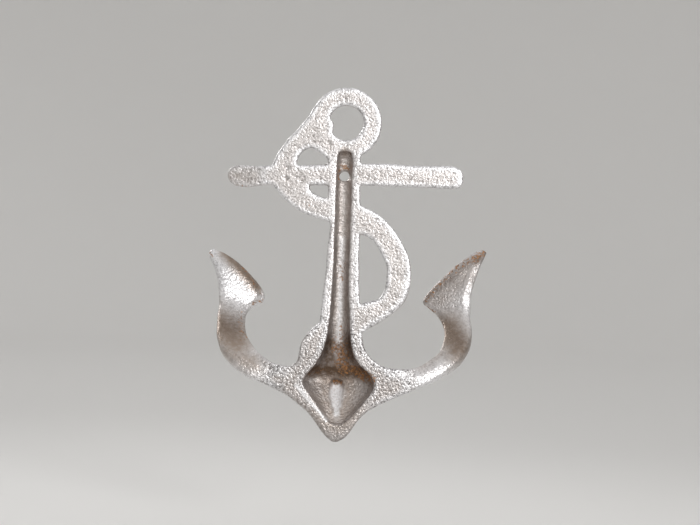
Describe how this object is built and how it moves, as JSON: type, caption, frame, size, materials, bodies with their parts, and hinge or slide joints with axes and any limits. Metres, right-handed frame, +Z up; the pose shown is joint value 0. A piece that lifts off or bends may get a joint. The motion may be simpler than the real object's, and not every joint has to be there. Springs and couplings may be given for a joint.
{
  "type": "anchor wall hook",
  "caption": "Rope-fouled anchor wall hook, sand cast in one piece, with a flat hollowed back and two arms that sweep forward and up as hooks.",
  "frame": {"origin": "centre of the screw hole, on the flat back that lies against the wall", "axes": "+Z up along the shank, +Y out of the wall towards the hooks, +X to the right of someone who looks at the flat back"},
  "size_m": [0.1482, 0.049, 0.1791],
  "materials": {
    "cast_silver": "bright silver coating over rough sand-cast iron, worn thin to brown and orange rust in the hollows and along the edges"
  },
  "bodies": {
    "root": {"anchor_casting": "cast_silver"}
  },
  "joints": []
}
